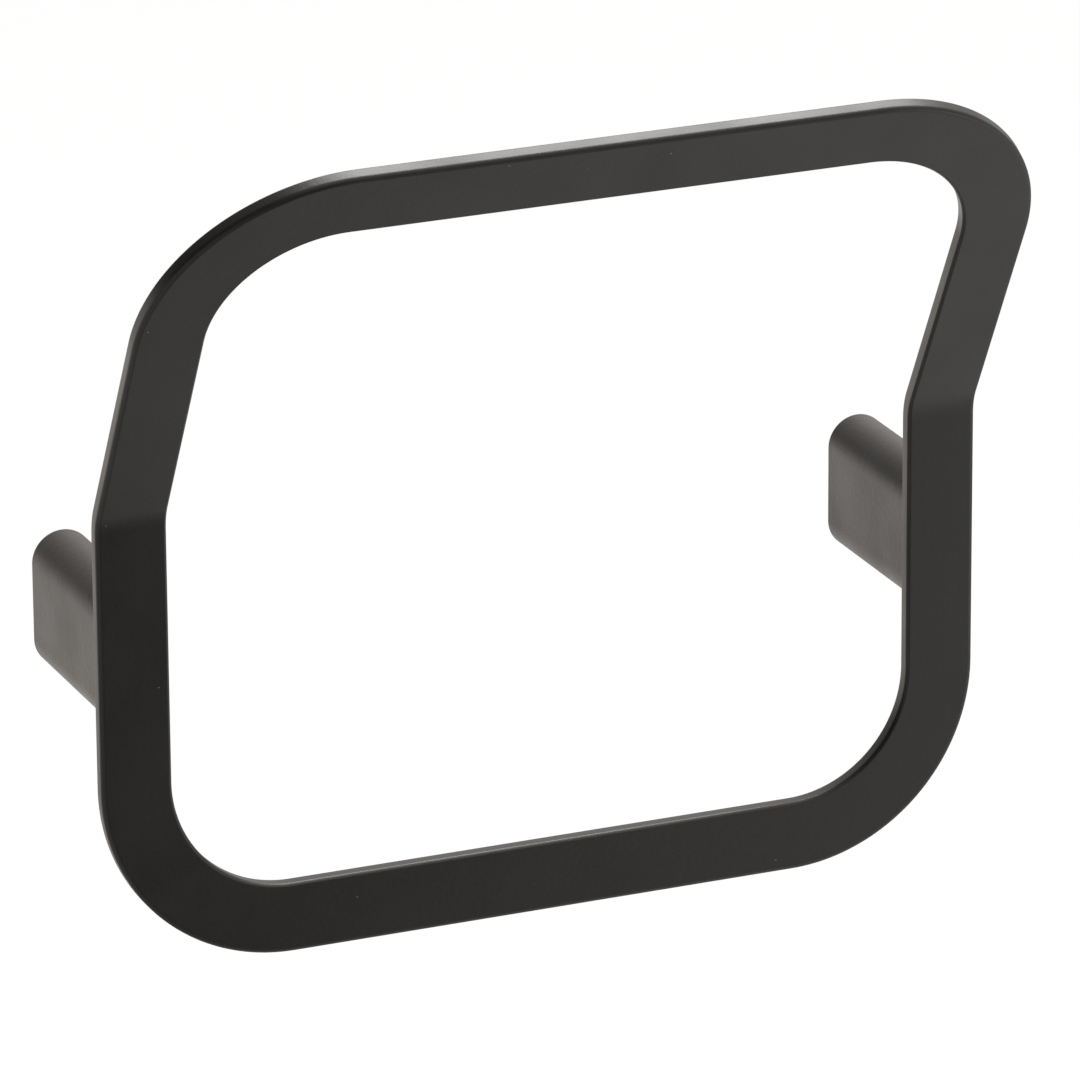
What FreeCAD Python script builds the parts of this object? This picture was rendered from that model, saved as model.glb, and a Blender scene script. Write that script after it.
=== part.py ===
import FreeCAD, Part
import math
import os

from FreeCAD import Vector

# Towel ring for wall mounting, in millimetres.
# A flat bar frame with rounded corners is folded forward across its middle. It is screwed
# from behind to two hollow posts, and each post slips over a small bracket on the wall,
# where a set screw from underneath holds it.
# Z is up and Y points into the wall. The wall plane is y = 0, x = 0 is half-way between
# the posts, and z = 0 is the height of the posts' centre line.

# Flat bar frame
frame_width = 250.0
frame_drop = 127.0          # fold line down to the lower outer edge
frame_rise = 118.0          # fold line to the upper outer edge, along the slope
fold_above_posts = 39.0     # posts' centre line up to the fold line
fold_angle = 28.5           # degrees that the upper half leans away from the wall
fold_inner_radius = 13.0
corner_radius = 53.0        # outer edge of the four corners
bar_width = 19.5
bar_thickness = 4.0
bar_outer_round = 0.8       # outer front edge
bar_inner_bevel = 0.6       # front edge round the opening
bar_back_bevel = 0.5

# Hollow posts
post_width = 17.0
post_height = 38.0
post_depth = 50.0           # wall plane to the back of the frame
post_wall = 2.5
post_front_wall = 4.0
post_front_bevel = 0.4      # outer rim against the frame, seen as a fine seam

# Brackets on the wall, inside the posts
bracket_play = 0.2
bracket_plate = 3.0
tongue_length = 10.0
tongue_height = 5.0
tongue_edge_bevel = 0.8
wall_hole_radius = 2.25
wall_hole_spacing = 14.0

# Screws that hold the frame to the posts
frame_screw_radius = 2.0
frame_screw_spacing = 16.0
frame_screw_play = 0.2      # round the shank, in the post's front wall
frame_screw_head_radius = 3.5
frame_screw_head_height = 2.8
frame_screw_key = 2.5       # hexagon socket across its flats
frame_screw_key_depth = 1.6
tapped_depth = 2.8          # blind thread in the back of the bar
tapped_end_space = 0.3      # left empty past the screw's tip

# Set screws under the posts
set_screw_radius = 2.0
set_screw_length = 5.0
set_screw_key = 2.0         # hexagon socket across its flats
set_screw_key_depth = 2.0
set_screw_groove = 3.2      # depth of the right-angled groove that takes the point
set_screw_seat = 0.1        # point to the groove's root
set_screw_tip_radius = 0.5

# All screws
thread_play = 0.05          # between a thread's crests and its tapped hole

# Values that follow from those above
half_turn = 180.0
quarter_turn = 90.0
hexagon_sides = 6
sides = {"left": -1, "right": 1}
levels = {"lower": -1, "upper": 1}
post_centre_x = (frame_width - bar_width) / 2
bar_middle_y = -post_depth - bar_thickness / 2
fold_middle_radius = fold_inner_radius + bar_thickness / 2
fold_set_back = fold_middle_radius * math.tan(math.radians(fold_angle) / 2)
fold_start_z = fold_above_posts - fold_set_back
post_inner_y = -post_depth + post_front_wall
bracket_width = post_width - 2 * post_wall - 2 * bracket_play
bracket_height = post_height - 2 * post_wall - 2 * bracket_play
tongue_front_y = -bracket_plate - tongue_length
set_screw_y = -bracket_plate - tongue_length / 2

origin = Vector(0, 0, 0)
along_x = Vector(1, 0, 0)
along_y = Vector(0, 1, 0)
along_z = Vector(0, 0, 1)


def moved(shape, x, y, z):
    """A copy of a shape, carried to a place."""
    copy = shape.copy()
    copy.translate(Vector(x, y, z))
    return copy


def bar_section(side):
    """Section of the flat bar, with its rounded front edge on the outer side."""
    outer_x = side * bar_width / 2
    front_y = -bar_thickness / 2
    back_y = bar_thickness / 2
    bow = bar_outer_round * (1 - math.sqrt(0.5))
    corners = [
        Vector(outer_x - side * bar_outer_round, front_y, 0),
        Vector(-outer_x + side * bar_inner_bevel, front_y, 0),
        Vector(-outer_x, front_y + bar_inner_bevel, 0),
        Vector(-outer_x, back_y - bar_back_bevel, 0),
        Vector(-outer_x + side * bar_back_bevel, back_y, 0),
        Vector(outer_x - side * bar_back_bevel, back_y, 0),
        Vector(outer_x, back_y - bar_back_bevel, 0),
        Vector(outer_x, front_y + bar_outer_round, 0),
    ]
    edges = [Part.makeLine(start, end) for start, end in zip(corners, corners[1:])]
    crest = Vector(outer_x - side * bow, front_y + bow, 0)
    edges.append(Part.Arc(corners[-1], crest, corners[0]).toShape())
    return Part.Face(Part.Wire(edges))


def bar_loop(length):
    """Half of the frame: two side runs from z = 0 down, two corners and the cross run."""
    run = length - corner_radius
    reach = frame_width / 2 - corner_radius
    solids = []
    for side in sides.values():
        section = moved(bar_section(side), side * post_centre_x, 0, 0)
        solids.append(section.extrude(Vector(0, 0, -run)))
        corner_start = moved(section, 0, 0, -run)
        pivot = Vector(side * reach, 0, -run)
        solids.append(corner_start.revolve(pivot, along_y, side * quarter_turn))
    cross = bar_section(sides["right"])
    cross.rotate(origin, along_y, quarter_turn)
    cross.translate(Vector(-reach, 0, -length + bar_width / 2))
    solids.append(cross.extrude(Vector(2 * reach, 0, 0)))
    return solids


def folded_frame():
    """The whole bar frame: lower half flat, upper half leaning away from the wall."""
    fold_axis = Vector(0, bar_middle_y - fold_middle_radius, fold_start_z)
    solids = []
    for solid in bar_loop(frame_drop - fold_set_back):
        solids.append(moved(solid, 0, bar_middle_y, fold_start_z))
    for side in sides.values():
        section = moved(bar_section(side), side * post_centre_x, bar_middle_y, fold_start_z)
        solids.append(section.revolve(fold_axis, along_x, fold_angle))
    for solid in bar_loop(frame_rise - fold_set_back):
        solid.rotate(origin, along_y, half_turn)
        solid.translate(Vector(0, bar_middle_y, fold_start_z))
        solid.rotate(fold_axis, along_x, fold_angle)
        solids.append(solid)
    frame = solids[0].multiFuse(solids[1:]).removeSplitter()
    for side in sides.values():
        for level in levels.values():
            frame = frame.cut(tapped_hole(side, level))
    return frame


def frame_screw_place(side, level):
    """Centre of a frame screw, on the seam between post and bar."""
    return Vector(side * post_centre_x, -post_depth, level * frame_screw_spacing / 2)


def tapped_hole(side, level):
    """Blind hole in the back of the bar for a frame screw."""
    radius = frame_screw_radius + thread_play
    return Part.makeCylinder(radius, tapped_depth, frame_screw_place(side, level), -along_y)


def upright_slot(width, height, x, y):
    """Face across Y with straight sides and half-round ends, centred on z = 0."""
    radius = width / 2
    reach = height / 2 - radius
    edges = []
    for end in levels.values():
        first = Vector(x - radius, y, end * reach)
        crown = Vector(x, y, end * (reach + radius))
        last = Vector(x + radius, y, end * reach)
        edges.append(Part.Arc(first, crown, last).toShape())
    for side in sides.values():
        low = Vector(x + side * radius, y, -reach)
        high = Vector(x + side * radius, y, reach)
        edges.append(Part.makeLine(low, high))
    return Part.Face(Part.Wire(Part.sortEdges(edges)[0]))


def rim_edges(solid, y):
    """The edges of a solid that lie across Y at one depth."""
    tolerance = 1e-6
    found = []
    for edge in solid.Edges:
        box = edge.BoundBox
        if abs(box.YMin - y) < tolerance and abs(box.YMax - y) < tolerance:
            found.append(edge)
    return found


def hollow_post(side):
    """Post with a closed front wall, open towards the wall it hangs on."""
    x = side * post_centre_x
    body = upright_slot(post_width, post_height, x, -post_depth).extrude(Vector(0, post_depth, 0))
    body = body.makeChamfer(post_front_bevel, rim_edges(body, -post_depth))
    inner_width = post_width - 2 * post_wall
    inner_height = post_height - 2 * post_wall
    cavity = upright_slot(inner_width, inner_height, x, post_inner_y)
    body = body.cut(cavity.extrude(Vector(0, -post_inner_y, 0)))
    for level in levels.values():
        radius = frame_screw_radius + frame_screw_play
        place = frame_screw_place(side, level)
        body = body.cut(Part.makeCylinder(radius, post_front_wall, place, along_y))
    set_screw_hole = Part.makeCylinder(
        set_screw_radius + thread_play, post_height / 2, Vector(x, set_screw_y, 0), -along_z)
    return body.cut(set_screw_hole)


def wall_bracket(side):
    """Plate against the wall with a tongue along its lower end for the set screw."""
    x = side * post_centre_x
    plate = upright_slot(bracket_width, bracket_height, x, -bracket_plate)
    plate = plate.extrude(Vector(0, bracket_plate, 0))
    bottom_z = -bracket_height / 2
    tongue = upright_slot(bracket_width, bracket_height, x, tongue_front_y)
    tongue = tongue.extrude(Vector(0, tongue_length, 0))
    cutter_corner = Vector(x - bracket_width / 2, tongue_front_y, bottom_z)
    cutter = Part.makeBox(bracket_width, tongue_length, tongue_height, cutter_corner)
    tongue = tongue.common(cutter)
    tongue = tongue.makeChamfer(tongue_edge_bevel, rim_edges(tongue, tongue_front_y))
    bracket = plate.fuse(tongue).removeSplitter()
    bracket = bracket.cut(screw_groove(x, bottom_z))
    for level in levels.values():
        mouth = Vector(x, -bracket_plate, level * wall_hole_spacing / 2)
        bracket = bracket.cut(Part.makeCylinder(wall_hole_radius, bracket_plate, mouth, along_y))
    return bracket


def screw_groove(x, bottom_z):
    """Right-angled groove across the tongue's underside, open downwards."""
    start_x = x - bracket_width / 2
    root = Vector(start_x, set_screw_y, bottom_z + set_screw_groove)
    near = Vector(start_x, set_screw_y + set_screw_groove, bottom_z)
    far = Vector(start_x, set_screw_y - set_screw_groove, bottom_z)
    return Part.Face(Part.makePolygon([root, near, far, root])).extrude(Vector(bracket_width, 0, 0))


def hexagon_socket(across_flats, depth):
    """Hexagonal prism from z = 0 up, for the key that turns a screw."""
    radius = across_flats / 2 / math.cos(math.pi / hexagon_sides)
    points = []
    for step in range(hexagon_sides + 1):
        angle = 2 * math.pi * step / hexagon_sides
        points.append(Vector(radius * math.cos(angle), radius * math.sin(angle), 0))
    return Part.Face(Part.makePolygon(points)).extrude(Vector(0, 0, depth))


def turned(points):
    """Solid turned about Z from an outline of (radius, height) points."""
    outline = [Vector(radius, 0, height) for radius, height in points]
    face = Part.Face(Part.makePolygon(outline + outline[:1]))
    return face.revolve(origin, along_z, 2 * half_turn)


def frame_screw(side, level):
    """Low-headed screw through the post's front wall into the back of the bar."""
    tip = frame_screw_head_height + post_front_wall + tapped_depth - tapped_end_space
    screw = turned([
        (0, 0),
        (frame_screw_head_radius, 0),
        (frame_screw_head_radius, frame_screw_head_height),
        (frame_screw_radius, frame_screw_head_height),
        (frame_screw_radius, tip),
        (0, tip),
    ])
    screw = screw.cut(hexagon_socket(frame_screw_key, frame_screw_key_depth))
    screw.rotate(origin, along_x, quarter_turn)
    place = frame_screw_place(side, level)
    return moved(screw, place.x, post_inner_y + frame_screw_head_height, place.z)


def set_screw(side):
    """Headless screw with a right-angled point, driven up from under the post."""
    point_height = set_screw_radius - set_screw_tip_radius
    screw = turned([
        (0, 0),
        (set_screw_radius, 0),
        (set_screw_radius, set_screw_length - point_height),
        (set_screw_tip_radius, set_screw_length),
        (0, set_screw_length),
    ])
    screw = screw.cut(hexagon_socket(set_screw_key, set_screw_key_depth))
    sharp_point_z = -bracket_height / 2 + set_screw_groove - set_screw_seat
    bottom_z = sharp_point_z - set_screw_tip_radius - set_screw_length
    return moved(screw, side * post_centre_x, set_screw_y, bottom_z)


def build_parts():
    """Every separate piece of the towel ring, by name."""
    parts = {"ring_frame": folded_frame()}
    for side_name, side in sides.items():
        parts[side_name + "_post"] = hollow_post(side)
        parts[side_name + "_wall_bracket"] = wall_bracket(side)
        parts[side_name + "_set_screw"] = set_screw(side)
        for level_name, level in levels.items():
            parts[side_name + "_" + level_name + "_frame_screw"] = frame_screw(side, level)
    return parts


os.makedirs("parts", exist_ok=True)
for name, shape in build_parts().items():
    if shape.ShapeType != "Solid" and len(shape.Solids) == 1:
        shape = shape.Solids[0]
    shape.exportStep(os.path.join("parts", name + ".step"))
    box = shape.optimalBoundingBox(False, False)
    print(f"{name:26s} solids {len(shape.Solids)} valid {shape.isValid()} "
          f"volume {shape.Volume:10.2f} x {box.XMin:.2f} {box.XMax:.2f} "
          f"y {box.YMin:.2f} {box.YMax:.2f} z {box.ZMin:.2f} {box.ZMax:.2f}")
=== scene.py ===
# %% [markdown]
# A towel ring for the wall, in matt black powder coat: a flat bar bent to a closed frame with
# four large round corners, folded forward across its middle, on two hollow posts. Its
# construction comes from the CAD frame at real size, in metres. Z is up, Y points into the
# wall and the wall plane is y = 0. This script dresses that frame: camera, light, finishes,
# the bar with its soft edges, and the small threaded parts that show from below and behind.

# %% Load the frame
import math

import bpy
from mathutils import Matrix, Vector


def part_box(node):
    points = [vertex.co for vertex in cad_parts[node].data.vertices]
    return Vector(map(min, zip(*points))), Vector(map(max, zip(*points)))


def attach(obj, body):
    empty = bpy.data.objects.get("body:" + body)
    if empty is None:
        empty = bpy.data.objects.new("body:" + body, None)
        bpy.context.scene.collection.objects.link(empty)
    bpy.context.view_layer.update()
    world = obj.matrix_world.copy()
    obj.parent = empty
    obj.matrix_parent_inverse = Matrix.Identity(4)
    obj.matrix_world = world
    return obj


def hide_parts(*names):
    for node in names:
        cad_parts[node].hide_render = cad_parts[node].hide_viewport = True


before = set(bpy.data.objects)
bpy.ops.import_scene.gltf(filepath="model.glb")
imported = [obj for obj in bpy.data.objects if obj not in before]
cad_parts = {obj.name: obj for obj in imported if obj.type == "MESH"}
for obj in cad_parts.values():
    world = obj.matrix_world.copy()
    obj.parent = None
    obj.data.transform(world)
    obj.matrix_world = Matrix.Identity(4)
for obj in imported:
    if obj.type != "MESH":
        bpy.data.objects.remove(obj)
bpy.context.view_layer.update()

scene = bpy.context.scene
scene.view_settings.view_transform = "Standard"
sides = ("left", "right")
levels = ("lower", "upper")
print("pieces from CAD:", sorted(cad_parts))

# %% [markdown]
# The photograph was taken from the front left, a little above, with a long lens. A long lens
# keeps the four sides of the frame nearly parallel, so the camera stands far off and its
# place is given by two angles and a distance from the point that it looks at. A small roll
# takes up the tilt of the picture.

# %% Camera
camera_azimuth = math.radians(-22.667)
camera_elevation = math.radians(19.772)
camera_roll = math.radians(-0.391)
camera_distance = 2.3687
camera_lens = 300.0
look_at = Vector((-0.0004, -0.052, 0.01645))

backward = Vector((
    math.sin(camera_azimuth) * math.cos(camera_elevation),
    -math.cos(camera_azimuth) * math.cos(camera_elevation),
    math.sin(camera_elevation),
))
camera_data = bpy.data.cameras.new("photo_camera")
camera_data.lens = camera_lens
camera_data.clip_end = 50.0
camera = bpy.data.objects.new("photo_camera", camera_data)
scene.collection.objects.link(camera)
facing = backward.to_track_quat("Z", "Y").to_matrix().to_4x4()
roll = Matrix.Rotation(camera_roll, 4, "Z")
stand = Matrix.Translation(look_at + backward * camera_distance)
camera.matrix_world = stand @ facing @ roll
scene.camera = camera
print("camera at", [round(value, 3) for value in camera.matrix_world.translation])

# %% [markdown]
# Materials here are built from nodes. Short helpers keep that readable: one adds a node and
# fills its sockets by name, one joins two sockets, one opens an empty material, one fades
# softly from one level to another, and one works out a sum or a product.


# %% Helpers for nodes
def add_node(tree, kind, settings=None, **sockets):
    """A new node, with its own settings and with plain values on named sockets."""
    node = tree.nodes.new(kind)
    for name, value in (settings or {}).items():
        setattr(node, name, value)
    for name, value in sockets.items():
        node.inputs[name.replace("_", " ")].default_value = value
    return node


def join(tree, source, target):
    tree.links.new(source, target)


def empty_material(name):
    material = bpy.data.materials.new(name)
    material.use_nodes = True
    material.node_tree.nodes.clear()
    return material, material.node_tree


def fade(tree, value, start, end, level_at_start, level_at_end):
    """A level that changes softly while a value goes from start to end."""
    node = add_node(tree, "ShaderNodeMapRange", {"interpolation_type": "SMOOTHSTEP"},
                    From_Min=start, From_Max=end, To_Min=level_at_start, To_Max=level_at_end)
    join(tree, value, node.inputs["Value"])
    return node.outputs["Result"]


def work_out(tree, operation, first, second):
    """A sum, product or maximum of two values."""
    node = add_node(tree, "ShaderNodeMath", {"operation": operation})
    join(tree, first, node.inputs[0])
    join(tree, second, node.inputs[1])
    return node.outputs["Value"]


# %% [markdown]
# The background is plain white: the world shows white to the camera. The light that it sheds
# on the object is uneven, as in a studio where white cards stand behind on the right and the
# rest of the room is dark. A black coat shows little of its own colour and a lot of its
# surroundings, so this unevenness is what draws its edges. How bright the world is towards a
# direction depends on how near that direction lies to the middle of the cards. One more
# card, small and weaker, hangs high in front: the rounded upper edges mirror it.

# %% World
cards_towards = (0.60, 0.75, 0.28)
dark_level = 0.08
card_level = 1.12
cards_fade_from = 0.05
cards_fade_to = 0.95
front_towards = (0.36, -0.62, 0.70)
front_level = 0.90
front_fade_from = 0.74
front_fade_to = 0.93
warm_white = (1.0, 0.93, 0.87, 1.0)
plain_white = (1.0, 1.0, 1.0, 1.0)

world = bpy.data.worlds.new("studio")
scene.world = world
world.use_nodes = True
tree = world.node_tree
tree.nodes.clear()
direction = add_node(tree, "ShaderNodeTexCoord")
nearness = add_node(tree, "ShaderNodeVectorMath", {"operation": "DOT_PRODUCT"})
nearness.inputs[1].default_value = cards_towards
cards = add_node(tree, "ShaderNodeMapRange", From_Min=cards_fade_from, From_Max=cards_fade_to,
                 To_Min=dark_level, To_Max=card_level)
front_nearness = add_node(tree, "ShaderNodeVectorMath", {"operation": "DOT_PRODUCT"})
front_nearness.inputs[1].default_value = front_towards
path = add_node(tree, "ShaderNodeLightPath")
studio = add_node(tree, "ShaderNodeBackground", Color=warm_white)
white = add_node(tree, "ShaderNodeBackground", Color=plain_white, Strength=1.0)
shown = add_node(tree, "ShaderNodeMixShader")
world_out = add_node(tree, "ShaderNodeOutputWorld")
join(tree, direction.outputs["Generated"], nearness.inputs[0])
join(tree, nearness.outputs["Value"], cards.inputs["Value"])
join(tree, direction.outputs["Generated"], front_nearness.inputs[0])
front = fade(tree, front_nearness.outputs["Value"], front_fade_from, front_fade_to,
             0.0, front_level)
strength = work_out(tree, "ADD", cards.outputs["Result"], front)
join(tree, strength, studio.inputs["Strength"])
join(tree, path.outputs["Is Camera Ray"], shown.inputs["Fac"])
join(tree, studio.outputs["Background"], shown.inputs[1])
join(tree, white.outputs["Background"], shown.inputs[2])
join(tree, shown.outputs["Shader"], world_out.inputs["Surface"])
print("world lights from", dark_level, "to", card_level)

# %% [markdown]
# Far below the ring lies a large pale floor. The camera sees it as white with a faint soft
# shadow: most of its look is its own light, and the rest is plain diffuse white. Seen from
# underneath it is clear, so that the ring can be looked at from below. In reflections it is
# a table lit in parts: white in front on the right and behind on the left, grey on the left
# and close in front, and dark elsewhere. The flat faces, the sides of the posts and the
# rounded edges each mirror another part of it, which is how each comes to its own brightness.
# Every part fades softly into the next.

# %% Floor
floor_height = -0.35
floor_size = 40.0

bpy.ops.mesh.primitive_plane_add(size=floor_size, location=(0, 0, floor_height))
floor = bpy.context.object
floor.name = "floor"
floor_material, tree = empty_material("pale_floor")
place = add_node(tree, "ShaderNodeNewGeometry")
place_parts = add_node(tree, "ShaderNodeSeparateXYZ")
join(tree, place.outputs["Position"], place_parts.inputs["Vector"])
floor_x = place_parts.outputs["X"]
floor_y = place_parts.outputs["Y"]
print("floor is", floor_size, "m wide at height", floor_height)

# %% Front and right part of the table
side_direction = (0.9, 0.4, 0.0)
side_fade_from = -0.18
side_fade_to = 0.15
side_dark_level = 0.0
side_level = 1.0
side_end_from = -0.14
side_end_to = 0.12
side_end_level = 0.30

sideways = add_node(tree, "ShaderNodeVectorMath", {"operation": "DOT_PRODUCT"})
sideways.inputs[1].default_value = side_direction
join(tree, place.outputs["Position"], sideways.inputs[0])
side_part = fade(tree, sideways.outputs["Value"], side_fade_from, side_fade_to,
                 side_dark_level, side_level)
side_end = fade(tree, floor_y, side_end_from, side_end_to, 1.0, side_end_level)
side_light = work_out(tree, "MULTIPLY", side_part, side_end)
print("front and right part reaches", side_level)

# %% Left part and near part of the table
left_fade_from = -0.15
left_fade_to = -0.45
left_level = 0.56
left_end_from = 0.05
left_end_to = 0.45
near_middle = (-0.18, -0.18, floor_height)
near_fade_from = 0.12
near_fade_to = 0.42
near_level = 0.35

left_part = fade(tree, floor_x, left_fade_from, left_fade_to, 0.0, left_level)
left_end = fade(tree, floor_y, left_end_from, left_end_to, 1.0, 0.0)
left_light = work_out(tree, "MULTIPLY", left_part, left_end)
near_distance = add_node(tree, "ShaderNodeVectorMath", {"operation": "DISTANCE"})
near_distance.inputs[1].default_value = near_middle
join(tree, place.outputs["Position"], near_distance.inputs[0])
near_light = fade(tree, near_distance.outputs["Value"], near_fade_from, near_fade_to,
                  near_level, 0.0)
print("left part reaches", left_level, "and the near part", near_level)

# %% Back part of the table
back_fade_from = 0.05
back_fade_to = 0.60
back_level = 1.28
back_end_from = 0.16
back_end_to = 0.50
back_end_level = 0.22

back_part = fade(tree, floor_y, back_fade_from, back_fade_to, 0.0, back_level)
back_end = fade(tree, floor_x, back_end_from, back_end_to, 1.0, back_end_level)
back_light = work_out(tree, "MULTIPLY", back_part, back_end)
print("back part reaches", back_level)

# %% Floor material
floor_own_light = 0.94
side_tint = (1.0, 0.985, 0.96, 1.0)
pale_paint = (0.9, 0.9, 0.9, 1.0)

side_white = add_node(tree, "ShaderNodeEmission", Color=side_tint)
back_white = add_node(tree, "ShaderNodeEmission", Color=warm_white)
table_white = add_node(tree, "ShaderNodeAddShader")
path = add_node(tree, "ShaderNodeLightPath")
camera_white = add_node(tree, "ShaderNodeEmission", Color=plain_white, Strength=1.0)
own_light = add_node(tree, "ShaderNodeMixShader")
pale = add_node(tree, "ShaderNodeBsdfDiffuse", Color=pale_paint)
share = add_node(tree, "ShaderNodeMath", {"operation": "MULTIPLY"})
share.inputs[1].default_value = floor_own_light
top_side = add_node(tree, "ShaderNodeMixShader")
clear = add_node(tree, "ShaderNodeBsdfTransparent")
both_sides = add_node(tree, "ShaderNodeMixShader")
floor_out = add_node(tree, "ShaderNodeOutputMaterial")
front_light = work_out(tree, "ADD", work_out(tree, "ADD", side_light, left_light), near_light)
watched = work_out(tree, "MAXIMUM", path.outputs["Is Camera Ray"], path.outputs["Is Glossy Ray"])
join(tree, front_light, side_white.inputs["Strength"])
join(tree, back_light, back_white.inputs["Strength"])
join(tree, side_white.outputs["Emission"], table_white.inputs[0])
join(tree, back_white.outputs["Emission"], table_white.inputs[1])
join(tree, path.outputs["Is Camera Ray"], own_light.inputs["Fac"])
join(tree, table_white.outputs["Shader"], own_light.inputs[1])
join(tree, camera_white.outputs["Emission"], own_light.inputs[2])
join(tree, watched, share.inputs[0])
join(tree, share.outputs["Value"], top_side.inputs["Fac"])
join(tree, pale.outputs["BSDF"], top_side.inputs[1])
join(tree, own_light.outputs["Shader"], top_side.inputs[2])
join(tree, place.outputs["Backfacing"], both_sides.inputs["Fac"])
join(tree, top_side.outputs["Shader"], both_sides.inputs[1])
join(tree, clear.outputs["BSDF"], both_sides.inputs[2])
join(tree, both_sides.outputs["Shader"], floor_out.inputs["Surface"])
floor.data.materials.append(floor_material)
print("nodes in the floor's material:", len(tree.nodes))

# %% [markdown]
# Two soft lamps. The large one hangs above, a little to the right and behind, where the top
# edge of the folded frame mirrors it: that edge is the brightest line in the picture. The
# other is a weak card low on the right, which lifts the right side of the frame.


# %% Lamps
ring_middle = (0.0, -0.06, 0.02)
softbox_place = (0.68, 0.33, 1.76)
softbox_size = 1.2
softbox_radiance = 10.5
card_place = (1.15, -1.15, -0.25)
card_size = 0.9
card_radiance = 1.3


def soft_lamp(name, place, aim, size, radiance):
    """A square area lamp of even radiance, turned towards a point, unseen by the camera."""
    data = bpy.data.lights.new(name, "AREA")
    data.shape = "SQUARE"
    data.size = size
    data.energy = radiance * math.pi * size * size
    lamp = bpy.data.objects.new(name, data)
    scene.collection.objects.link(lamp)
    lamp.location = place
    lamp.rotation_euler = (Vector(place) - Vector(aim)).to_track_quat("Z", "Y").to_euler()
    lamp.visible_camera = False
    print(name, "gives", round(data.energy, 1), "W")


soft_lamp("top_softbox", softbox_place, ring_middle, softbox_size, softbox_radiance)
soft_lamp("right_card", card_place, ring_middle, card_size, card_radiance)

# %% [markdown]
# The coat is a fine matt powder coat. Close up its surface is a very shallow orange peel with
# a finer grain on it, and here and there a grain of powder stands out as a lighter speck. The
# pattern is a node group that gives a height, a slow cloudiness and a mask of specks, so
# that the cast posts and the bar can use it at their own strength.

# %% Powder pattern
grain_pitch = 0.00035
peel_pitch = 0.0014
cloud_pitch = 0.022
speck_pitch = 0.0045
grain_detail = 3.0
peel_detail = 1.0
cloud_detail = 2.0
speck_reach = 0.050
speck_share = 0.78


def powder_pattern():
    """Node group: height of the coat, slow clouds and sparse light specks."""
    group = bpy.data.node_groups.new("powder_pattern", "ShaderNodeTree")
    group.interface.new_socket("Grain", in_out="INPUT", socket_type="NodeSocketFloat")
    group.interface.new_socket("Peel", in_out="INPUT", socket_type="NodeSocketFloat")
    for name in ("Height", "Clouds", "Specks"):
        group.interface.new_socket(name, in_out="OUTPUT", socket_type="NodeSocketFloat")
    entry = add_node(group, "NodeGroupInput")
    leave = add_node(group, "NodeGroupOutput")
    place = add_node(group, "ShaderNodeTexCoord")
    grain = add_node(group, "ShaderNodeTexNoise", Scale=1 / grain_pitch, Detail=grain_detail)
    peel = add_node(group, "ShaderNodeTexNoise", Scale=1 / peel_pitch, Detail=peel_detail)
    clouds = add_node(group, "ShaderNodeTexNoise", Scale=1 / cloud_pitch, Detail=cloud_detail)
    cells = add_node(group, "ShaderNodeTexVoronoi", Scale=1 / speck_pitch)
    chosen = add_node(group, "ShaderNodeMath", {"operation": "GREATER_THAN"})
    chosen.inputs[1].default_value = speck_share
    chance = add_node(group, "ShaderNodeSeparateColor")
    dot = add_node(group, "ShaderNodeMapRange", From_Min=speck_reach, From_Max=speck_reach / 2)
    for texture in (grain, peel, clouds, cells):
        join(group, place.outputs["Object"], texture.inputs["Vector"])
    grain_part = work_out(group, "MULTIPLY", grain.outputs["Fac"], entry.outputs["Grain"])
    peel_part = work_out(group, "MULTIPLY", peel.outputs["Fac"], entry.outputs["Peel"])
    join(group, work_out(group, "ADD", grain_part, peel_part), leave.inputs["Height"])
    join(group, clouds.outputs["Fac"], leave.inputs["Clouds"])
    join(group, cells.outputs["Color"], chance.inputs["Color"])
    join(group, chance.outputs["Red"], chosen.inputs[0])
    join(group, cells.outputs["Distance"], dot.inputs["Value"])
    specks = work_out(group, "MULTIPLY", chosen.outputs["Value"], dot.outputs["Result"])
    join(group, specks, leave.inputs["Specks"])
    return group


powder = powder_pattern()
print("nodes in the powder pattern:", len(powder.nodes))

# %% Black coat
coat_dark = (0.0080, 0.0077, 0.0074, 1.0)
coat_light = (0.0110, 0.0106, 0.0101, 1.0)
coat_speck = (0.20, 0.20, 0.194, 1.0)
coat_bump = 0.00005
clouds_low = 0.3
clouds_high = 0.7


def black_coat(name, grain, peel, smoothest, roughest):
    """Matt black powder coat over metal."""
    material, tree = empty_material(name)
    pattern = add_node(tree, "ShaderNodeGroup", {"node_tree": powder}, Grain=grain, Peel=peel)
    tint = add_node(tree, "ShaderNodeMix", {"data_type": "RGBA"})
    tint.inputs["A"].default_value = coat_dark
    tint.inputs["B"].default_value = coat_light
    colour = add_node(tree, "ShaderNodeMix", {"data_type": "RGBA"})
    colour.inputs["B"].default_value = coat_speck
    roughness = add_node(tree, "ShaderNodeMapRange", From_Min=clouds_low, From_Max=clouds_high,
                         To_Min=smoothest, To_Max=roughest)
    bump = add_node(tree, "ShaderNodeBump", Strength=1.0, Distance=coat_bump)
    coat = add_node(tree, "ShaderNodeBsdfPrincipled")
    output = add_node(tree, "ShaderNodeOutputMaterial")
    join(tree, pattern.outputs["Clouds"], tint.inputs["Factor"])
    join(tree, tint.outputs["Result"], colour.inputs["A"])
    join(tree, pattern.outputs["Specks"], colour.inputs["Factor"])
    join(tree, colour.outputs["Result"], coat.inputs["Base Color"])
    join(tree, pattern.outputs["Clouds"], roughness.inputs["Value"])
    join(tree, roughness.outputs["Result"], coat.inputs["Roughness"])
    join(tree, pattern.outputs["Height"], bump.inputs["Height"])
    join(tree, bump.outputs["Normal"], coat.inputs["Normal"])
    join(tree, coat.outputs["BSDF"], output.inputs["Surface"])
    return material


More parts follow.
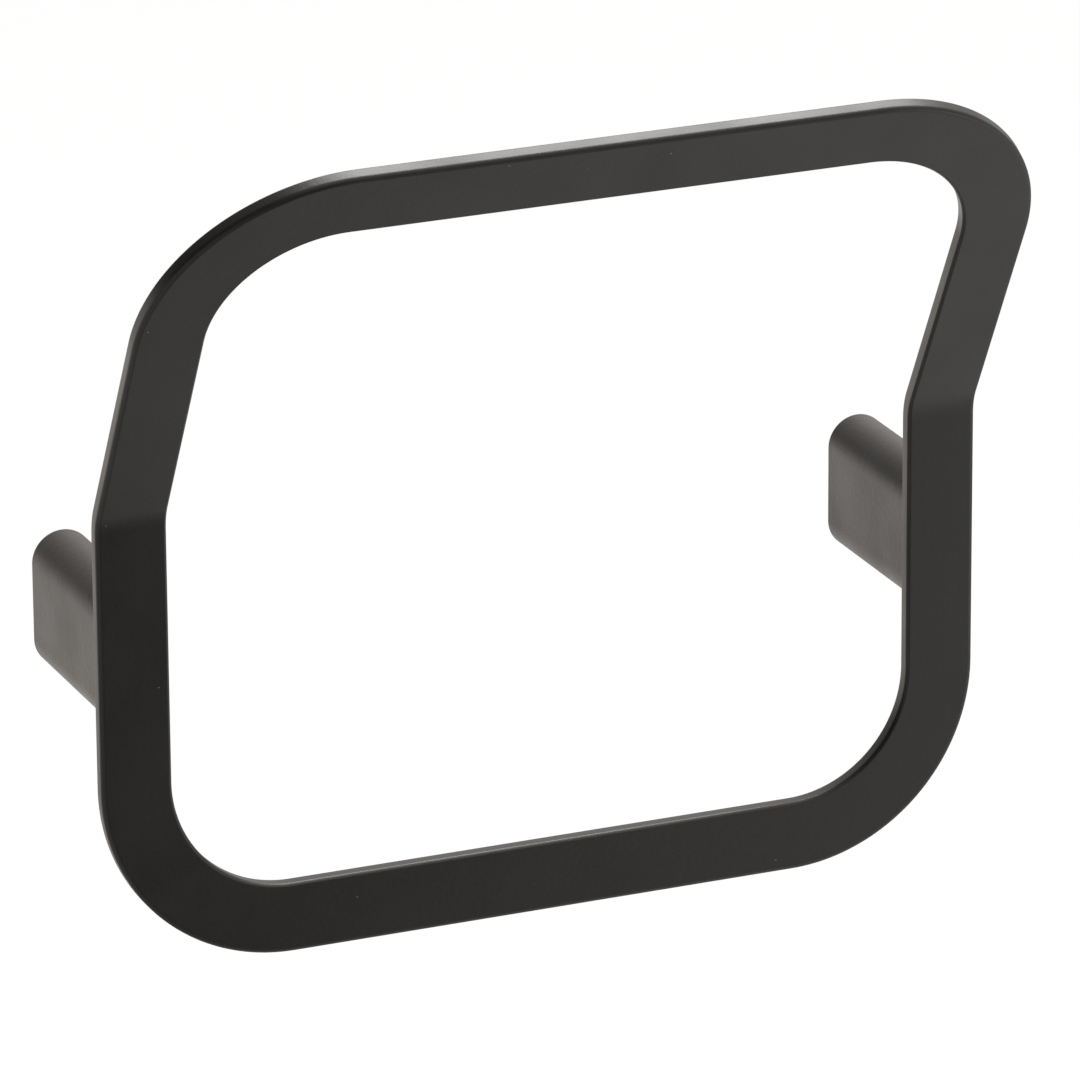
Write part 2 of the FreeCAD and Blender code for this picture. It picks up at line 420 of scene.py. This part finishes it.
def dress(node_name, material):
    """Give a CAD node its finish, and leave its mesh as it is."""
    piece = bpy.data.objects[node_name]
    piece.data.materials.clear()
    piece.data.materials.append(material)
    print(node_name, "is now", material.name)


bar_coat = black_coat("bar_coat", grain=0.35, peel=0.45, smoothest=0.36, roughest=0.44)
post_coat = black_coat("post_coat", grain=1.1, peel=1.0, smoothest=0.38, roughest=0.46)
for side in sides:
    dress(side + "_post", post_coat)

# %% [markdown]
# New pieces are made by hand tools: a primitive, then edit mode operators, then modifiers.
# An operator acts on everything that is selected, so each step starts from nothing selected.
# A finished piece rides on the ring's one body, gets a finish made here and stands for the
# CAD node whose place it takes.


# %% Helpers for modelling
smooth_angle = math.radians(30)


def select_nothing():
    bpy.ops.object.select_all(action="DESELECT")


def select_only(piece):
    select_nothing()
    piece.select_set(True)
    bpy.context.view_layer.objects.active = piece


def select_points(piece, is_wanted):
    """In edit mode, select only the points for which the test holds."""
    bpy.ops.mesh.select_mode(type="VERT")
    bpy.ops.mesh.select_all(action="DESELECT")
    bpy.ops.object.mode_set(mode="OBJECT")
    for vertex in piece.data.vertices:
        vertex.select = is_wanted(vertex.co)
    bpy.ops.object.mode_set(mode="EDIT")


def close_up(merge_distance):
    """In edit mode, merge points that meet and turn all faces outwards."""
    bpy.ops.mesh.select_all(action="SELECT")
    bpy.ops.mesh.remove_doubles(threshold=merge_distance)
    bpy.ops.mesh.normals_make_consistent(inside=False)
    bpy.ops.object.mode_set(mode="OBJECT")


def apply_modifier(piece, kind, **settings):
    """Add a modifier with its settings and apply it at once."""
    select_only(piece)
    modifier = piece.modifiers.new(kind.lower(), kind)
    for name, value in settings.items():
        setattr(modifier, name, value)
    bpy.ops.object.modifier_apply(modifier=modifier.name)


def combine(piece, other, operation):
    """Join, cut or intersect a piece with another, which is used up."""
    apply_modifier(piece, "BOOLEAN", operation=operation, object=other, solver="EXACT")
    bpy.data.objects.remove(other)


def weld(piece, merge_distance):
    """Merge the hairline slivers that cutting leaves behind."""
    select_only(piece)
    bpy.ops.object.mode_set(mode="EDIT")
    close_up(merge_distance)


def round_bar(radius, low, high, count):
    """A cylinder along Z between two heights."""
    select_nothing()
    bpy.ops.mesh.primitive_cylinder_add(vertices=count, radius=radius, depth=high - low,
                                        location=(0, 0, (low + high) / 2))
    bpy.ops.object.transform_apply(location=True, rotation=True, scale=True)
    return bpy.context.object


def finish_piece(piece, node_name, material):
    """Smooth the round faces, give the finish and let the piece stand for its CAD node."""
    select_only(piece)
    bpy.ops.object.shade_smooth_by_angle(angle=smooth_angle)
    apply_modifier(piece, "WEIGHTED_NORMAL", keep_sharp=True)
    piece.data.materials.clear()
    piece.data.materials.append(material)
    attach(piece, "root")
    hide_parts(node_name)
    print(piece.name, "stands for", node_name, "with", len(piece.data.polygons), "faces")


# %% [markdown]
# The frame is one flat bar, and its edges are what the light draws in the photograph: a well
# rounded front edge on the outside, a slightly smaller one round the opening, and nearly
# square edges behind. The way to such an even bar is to draw its section once and to carry
# it round the loop: extrude along each straight run, spin round each corner, and spin about
# the fold line for the fold. The loop closes on its own start.

# %% Section of the bar
frame_width = 0.250
bar_width = 0.0195
bar_thickness = 0.004
outer_round = 0.0014
inner_round = 0.0009
back_round = 0.0005
full_round = 0.5
flattened_round = 0.34
front_steps = 6
back_steps = 3
corner_radius = 0.053
corner_steps = 48
fold_angle = math.radians(28.5)
fold_steps = 12
fold_radius = 0.015
fold_height = 0.039
fold_to_bottom = 0.127
fold_to_top = 0.118
bar_middle_y = -0.052
point_distance = 1e-6
weld_distance = 1e-5

fold_set_back = fold_radius * math.tan(fold_angle / 2)
fold_start_z = fold_height - fold_set_back
section_middle = Vector(((frame_width - bar_width) / 2, bar_middle_y, fold_start_z))
section_edges = {
    (1, -1): (outer_round, full_round, front_steps),
    (-1, -1): (inner_round, flattened_round, front_steps),
    (1, 1): (back_round, full_round, back_steps),
    (-1, 1): (back_round, full_round, back_steps),
}

select_nothing()
bpy.ops.mesh.primitive_plane_add(size=1.0, location=section_middle)
bar = bpy.context.object
bar.name = "folded_bar_frame"
bar.scale = (bar_width, bar_thickness, 1.0)
bpy.ops.object.transform_apply(location=True, rotation=True, scale=True)
bpy.ops.object.mode_set(mode="EDIT")
for (x_side, y_side), (rounding, form, steps) in section_edges.items():
    half_section = Vector((x_side * bar_width, y_side * bar_thickness, 0.0)) / 2
    corner = section_middle + half_section
    select_points(bar, lambda point: (point - corner).length < point_distance)
    bpy.ops.mesh.bevel(affect="VERTICES", offset=rounding, segments=steps, profile=form)
bpy.ops.mesh.select_all(action="SELECT")
bpy.ops.mesh.delete(type="ONLY_FACE")
bpy.ops.mesh.select_all(action="SELECT")
print("points in the section:", len(bar.data.vertices))

# %% Carry the section round the loop
reach = frame_width / 2 - corner_radius
lower_run = fold_to_bottom - fold_set_back - corner_radius
upper_run = fold_to_top - fold_set_back - corner_radius
leaning = Matrix.Rotation(fold_angle, 4, "X")
up = Vector((0.0, 0.0, 1.0))
slope = leaning @ up
into_wall = Vector((0.0, 1.0, 0.0))
into_slope = leaning @ into_wall
fold_line = Vector((0.0, bar_middle_y - fold_radius, fold_start_z))
fold_end = fold_line + leaning @ (into_wall * fold_radius)
across = Vector((reach, 0.0, 0.0))
low_centre = Vector((0.0, bar_middle_y, fold_start_z - lower_run))
high_centre = fold_end + slope * upper_run
quarter = math.pi / 2
fold_axis = (1.0, 0.0, 0.0)


def run(way):
    bpy.ops.mesh.extrude_region_move(TRANSFORM_OT_translate={"value": way})


def turn_about(centre, axis, angle, steps):
    """Spin the selected end of the bar. The operator counts angles the other way round."""
    bpy.ops.mesh.spin(steps=steps, angle=-angle, center=centre, axis=axis)


run(-up * lower_run)
turn_about(low_centre + across, into_wall, quarter, corner_steps)
run(-2 * across)
turn_about(low_centre - across, into_wall, quarter, corner_steps)
run(up * lower_run)
turn_about(fold_line, fold_axis, fold_angle, fold_steps)
run(slope * upper_run)
turn_about(high_centre - across, into_slope, quarter, corner_steps)
run(2 * across)
turn_about(high_centre + across, into_slope, quarter, corner_steps)
run(-slope * upper_run)
turn_about(fold_line, fold_axis, -fold_angle, fold_steps)
close_up(merge_distance=weld_distance)
print("faces in the bar:", len(bar.data.polygons))

# %% Tapped holes behind the posts
tapped_radius = 0.00205
tapped_depth = 0.0028
drill_overrun = 0.001
drill_steps = 32
bar_back_y = bar_middle_y + bar_thickness / 2
upright_to_front = Matrix.Rotation(quarter, 4, "X")

for side in sides:
    for level in levels:
        low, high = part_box(side + "_" + level + "_frame_screw")
        centre = (Vector(low) + Vector(high)) / 2
        drill = round_bar(tapped_radius, -drill_overrun, tapped_depth, drill_steps)
        hole_place = Matrix.Translation((centre.x, bar_back_y, centre.z))
        drill.data.transform(hole_place @ upright_to_front)
        combine(bar, drill, "DIFFERENCE")
finish_piece(bar, "ring_frame", bar_coat)

# %% [markdown]
# The hidden parts are plain zinc plated steel. Plating from a barrel is a pale, slightly blue
# silver. It is not polished: the parts tumble against each other, which leaves a fine grain
# with small dull patches. The pattern is a node group again, and the brackets and the screws
# use it at their own scale.

# %% Tumbled zinc
zinc_bright = (0.46, 0.468, 0.478, 1.0)
zinc_dull = (0.40, 0.41, 0.425, 1.0)
zinc_bump = 0.00002
dents_per_patch = 9.0
dents_detail = 4.0
dents_roughness = 0.6
patches_detail = 3.0
patches_distortion = 0.4
patches_from = 0.42
patches_to = 0.62


def tumbled_pattern():
    """Node group: height of the tumbled surface and a mask of dull patches."""
    group = bpy.data.node_groups.new("tumbled_pattern", "ShaderNodeTree")
    group.interface.new_socket("Scale", in_out="INPUT", socket_type="NodeSocketFloat")
    for name in ("Height", "Patches"):
        group.interface.new_socket(name, in_out="OUTPUT", socket_type="NodeSocketFloat")
    entry = add_node(group, "NodeGroupInput")
    leave = add_node(group, "NodeGroupOutput")
    place = add_node(group, "ShaderNodeTexCoord")
    scaled = add_node(group, "ShaderNodeVectorMath", {"operation": "SCALE"})
    dents = add_node(group, "ShaderNodeTexNoise", Scale=dents_per_patch, Detail=dents_detail,
                     Roughness=dents_roughness)
    patches = add_node(group, "ShaderNodeTexNoise", Scale=1.0, Detail=patches_detail,
                       Distortion=patches_distortion)
    join(group, place.outputs["Object"], scaled.inputs[0])
    join(group, entry.outputs["Scale"], scaled.inputs["Scale"])
    join(group, scaled.outputs["Vector"], dents.inputs["Vector"])
    join(group, scaled.outputs["Vector"], patches.inputs["Vector"])
    dull_patches = fade(group, patches.outputs["Fac"], patches_from, patches_to, 0.0, 1.0)
    join(group, dents.outputs["Fac"], leave.inputs["Height"])
    join(group, dull_patches, leave.inputs["Patches"])
    return group


tumbled = tumbled_pattern()
print("nodes in the tumbled pattern:", len(tumbled.nodes))


# %% Zinc plated steel
def zinc_plate(name, patch_size, smoothest, roughest):
    """Bare metal with a thin, slightly uneven plating."""
    material, tree = empty_material(name)
    pattern = add_node(tree, "ShaderNodeGroup", {"node_tree": tumbled}, Scale=1 / patch_size)
    colour = add_node(tree, "ShaderNodeMix", {"data_type": "RGBA"})
    colour.inputs["A"].default_value = zinc_bright
    colour.inputs["B"].default_value = zinc_dull
    roughness = add_node(tree, "ShaderNodeMapRange", To_Min=smoothest, To_Max=roughest)
    bump = add_node(tree, "ShaderNodeBump", Strength=1.0, Distance=zinc_bump)
    metal = add_node(tree, "ShaderNodeBsdfPrincipled", Metallic=1.0)
    output = add_node(tree, "ShaderNodeOutputMaterial")
    join(tree, pattern.outputs["Patches"], colour.inputs["Factor"])
    join(tree, colour.outputs["Result"], metal.inputs["Base Color"])
    join(tree, pattern.outputs["Patches"], roughness.inputs["Value"])
    join(tree, roughness.outputs["Result"], metal.inputs["Roughness"])
    join(tree, pattern.outputs["Height"], bump.inputs["Height"])
    join(tree, bump.outputs["Normal"], metal.inputs["Normal"])
    join(tree, metal.outputs["BSDF"], output.inputs["Surface"])
    return material


bracket_zinc = zinc_plate("bracket_zinc", patch_size=0.0022, smoothest=0.34, roughest=0.44)
screw_zinc = zinc_plate("screw_zinc", patch_size=0.0012, smoothest=0.26, roughest=0.36)
for side in sides:
    dress(side + "_wall_bracket", bracket_zinc)

# %% [markdown]
# The screws have real threads. A thread is one tooth's outline carried up a helix, which is
# what the Screw modifier does. It is made longer than needed, cut flat at both ends, and
# then intersected with the screw's plain blank: what is left has the blank's chamfer or
# point and the thread's grooves. The head is joined on, and a six-sided prism cuts the
# socket for the key. Such cuts leave hairline slivers, so the points that nearly meet are
# merged at the end.

# %% Thread
thread_radius = 0.002
thread_pitch = 0.0007
thread_depth = 0.00038
thread_steps = 32
lead_in_pitches = 1.5
extra_turns = 3
trim_pitches = 0.3
key_sides = 6
crest_width = thread_pitch / 8
root_width = thread_pitch / 4
flank_width = (thread_pitch - crest_width - root_width) / 2
fine_distance = 1e-8
blank_steps = 48
blank_allowance = 1e-6
sliver_width = 2e-6


def endless_thread(low, high):
    """A closed length of thread along Z that reaches a little past both heights."""
    root = thread_radius - thread_depth
    start_z = low - lead_in_pitches * thread_pitch
    turns = math.ceil((high - low) / thread_pitch) + extra_turns
    trim = trim_pitches * thread_pitch
    select_nothing()
    bpy.ops.mesh.primitive_plane_add(size=thread_pitch, location=(root, 0, start_z))
    thread = bpy.context.object
    bpy.ops.object.transform_apply(location=True, rotation=True, scale=True)
    bpy.ops.object.mode_set(mode="EDIT")
    bpy.ops.mesh.merge(type="CENTER")
    for out, rise in ((thread_depth, flank_width), (0, crest_width),
                      (-thread_depth, flank_width), (0, root_width)):
        bpy.ops.mesh.extrude_region_move(TRANSFORM_OT_translate={"value": (out, 0, rise)})
    bpy.ops.object.mode_set(mode="OBJECT")
    apply_modifier(thread, "SCREW", screw_offset=thread_pitch, iterations=turns,
                   steps=thread_steps, render_steps=thread_steps)
    bpy.ops.object.mode_set(mode="EDIT")
    bpy.ops.mesh.select_all(action="SELECT")
    bpy.ops.mesh.remove_doubles(threshold=point_distance)
    for height, way in ((low - trim, 1), (high + trim, -1)):
        bpy.ops.mesh.select_all(action="SELECT")
        bpy.ops.mesh.bisect(plane_co=(0, 0, height), plane_no=(0, 0, way), use_fill=True,
                            clear_inner=True, threshold=fine_distance)
    close_up(merge_distance=fine_distance)
    return thread


def key_socket(across_flats, depth):
    """Six-sided prism that starts below z = 0 and ends at the socket's floor."""
    key_radius = across_flats / 2 / math.cos(math.pi / key_sides)
    return round_bar(key_radius, -drill_overrun, depth, key_sides)


print("thread flank in mm:", round(flank_width * 1000, 3))


# %% Frame screw
head_radius = 0.0035
head_height = 0.0028
head_round = 0.0004
head_round_steps = 3
frame_screw_length = 0.0093
tip_chamfer = 0.0004
frame_screw_key = 0.0025
frame_screw_socket = 0.0016

head = round_bar(head_radius, 0.0, head_height, blank_steps)
bpy.ops.object.mode_set(mode="EDIT")
select_points(head, lambda point: point.z < head_height / 2)
bpy.ops.mesh.bevel(offset=head_round, segments=head_round_steps)
bpy.ops.object.mode_set(mode="OBJECT")
shank = round_bar(thread_radius + blank_allowance, head_height - tip_chamfer,
                  frame_screw_length, blank_steps)
bpy.ops.object.mode_set(mode="EDIT")
select_points(shank, lambda point: point.z > frame_screw_length - point_distance)
bpy.ops.mesh.bevel(offset=tip_chamfer, segments=1)
bpy.ops.object.mode_set(mode="OBJECT")
combine(shank, endless_thread(head_height, frame_screw_length), "INTERSECT")
combine(head, shank, "UNION")
combine(head, key_socket(frame_screw_key, frame_screw_socket), "DIFFERENCE")
weld(head, sliver_width)
frame_screw = head
print("frame screw:", len(frame_screw.data.polygons), "faces")

# %% Set screw
set_screw_length = 0.005
point_height = 0.0015
point_share = 0.25
mouth_chamfer = 0.0003
set_screw_key = 0.002
set_screw_socket = 0.002

blank = round_bar(thread_radius + blank_allowance, 0.0, set_screw_length - point_height,
                  blank_steps)
bpy.ops.object.mode_set(mode="EDIT")
select_points(blank, lambda point: point.z > point_height)
bpy.ops.mesh.extrude_region_move(TRANSFORM_OT_translate={"value": (0, 0, point_height)})
bpy.ops.transform.resize(value=(point_share, point_share, 1.0))
select_points(blank, lambda point: point.z < point_distance)
bpy.ops.mesh.bevel(offset=mouth_chamfer, segments=1)
bpy.ops.object.mode_set(mode="OBJECT")
combine(blank, endless_thread(0.0, set_screw_length), "INTERSECT")
combine(blank, key_socket(set_screw_key, set_screw_socket), "DIFFERENCE")
weld(blank, sliver_width)
set_screw = blank
print("set screw:", len(set_screw.data.polygons), "faces")


# %% Screws in their places
def screw_in_place(model, node_name, turn, place):
    """A copy of a screw with its own mesh, turned and carried to its place."""
    piece = bpy.data.objects.new(node_name.replace("screw", "threaded_screw"),
                                 model.data.copy())
    scene.collection.objects.link(piece)
    piece.data.transform(Matrix.Translation(place) @ turn)
    finish_piece(piece, node_name, screw_zinc)


for side in sides:
    node_name = side + "_set_screw"
    low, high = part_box(node_name)
    screw_in_place(set_screw, node_name, Matrix.Identity(4),
                   ((low[0] + high[0]) / 2, (low[1] + high[1]) / 2, low[2]))
    for level in levels:
        node_name = side + "_" + level + "_frame_screw"
        low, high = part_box(node_name)
        screw_in_place(frame_screw, node_name, upright_to_front,
                       ((low[0] + high[0]) / 2, high[1], (low[2] + high[2]) / 2))
for model in (frame_screw, set_screw):
    bpy.data.objects.remove(model)
